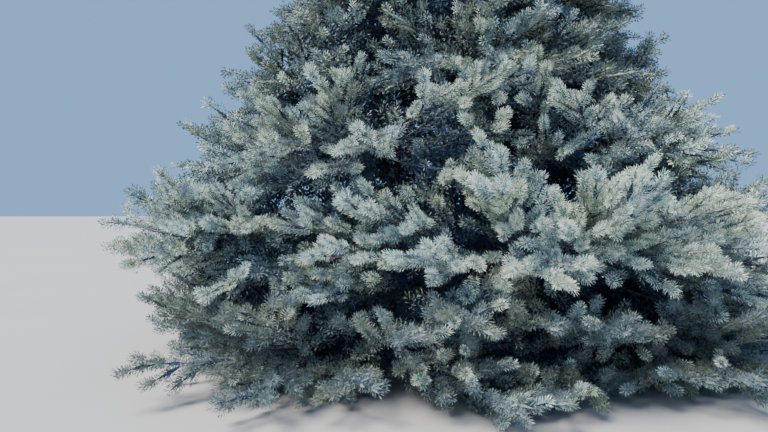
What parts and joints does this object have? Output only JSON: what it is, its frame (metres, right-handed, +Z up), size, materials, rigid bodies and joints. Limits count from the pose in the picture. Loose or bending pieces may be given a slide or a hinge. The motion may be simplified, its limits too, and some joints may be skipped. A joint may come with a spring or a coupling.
{
  "type": "blue spruce tree",
  "caption": "Young open-grown blue spruce, a broad cone of tiered boughs clothed in flat fans of stiff blue-green needles down to the ground, on one straight tapering trunk.",
  "frame": {"origin": "centre of the flat cut under the trunk, at ground level", "axes": "+Z up along the trunk to the leader; -Y is the side that faces the camera of the picture; +X is to the right in the picture"},
  "size_m": [4.7792, 4.2914, 5.2],
  "materials": {
    "bark": "rough grey-brown scaly bark",
    "foliage": "waxy blue-green needles, matt with a silvery bloom"
  },
  "bodies": {
    "root": {"bough_1_1": "bark", "bough_1_2": "bark", "bough_1_3": "bark", "bough_1_4": "bark", "bough_1_5": "bark", "bough_2_1": "bark", "bough_2_2": "bark", "bough_2_3": "bark", "bough_2_4": "bark", "bough_2_5": "bark", "bough_3_1": "bark", "bough_3_2": "bark", "bough_3_3": "bark", "bough_3_4": "bark", "bough_3_5": "bark", "bough_4_1": "bark", "bough_4_2": "bark", "bough_4_3": "bark", "bough_4_4": "bark", "bough_4_5": "bark", "foliage_1_1": "foliage", "foliage_1_2": "foliage", "foliage_1_3": "foliage", "foliage_1_4": "foliage", "foliage_1_5": "foliage", "foliage_2_1": "foliage", "foliage_2_2": "foliage", "foliage_2_3": "foliage", "foliage_2_4": "foliage", "foliage_2_5": "foliage", "foliage_3_1": "foliage", "foliage_3_2": "foliage", "foliage_3_3": "foliage", "foliage_3_4": "foliage", "foliage_3_5": "foliage", "foliage_4_1": "foliage", "foliage_4_2": "foliage", "foliage_4_3": "foliage", "foliage_4_4": "foliage", "foliage_4_5": "foliage", "foliage_5_1": "foliage", "foliage_5_2": "foliage", "foliage_5_3": "foliage", "foliage_5_4": "foliage", "foliage_6_1": "foliage", "foliage_6_2": "foliage", "foliage_6_3": "foliage", "foliage_6_4": "foliage", "foliage_7_1": "foliage", "foliage_7_2": "foliage", "foliage_7_3": "foliage", "foliage_8_1": "foliage", "foliage_8_2": "foliage", "foliage_8_3": "foliage", "foliage_9_1": "foliage", "foliage_9_2": "foliage", "foliage_9_3": "foliage", "foliage_leader": "foliage", "trunk": "bark"}
  },
  "joints": []
}
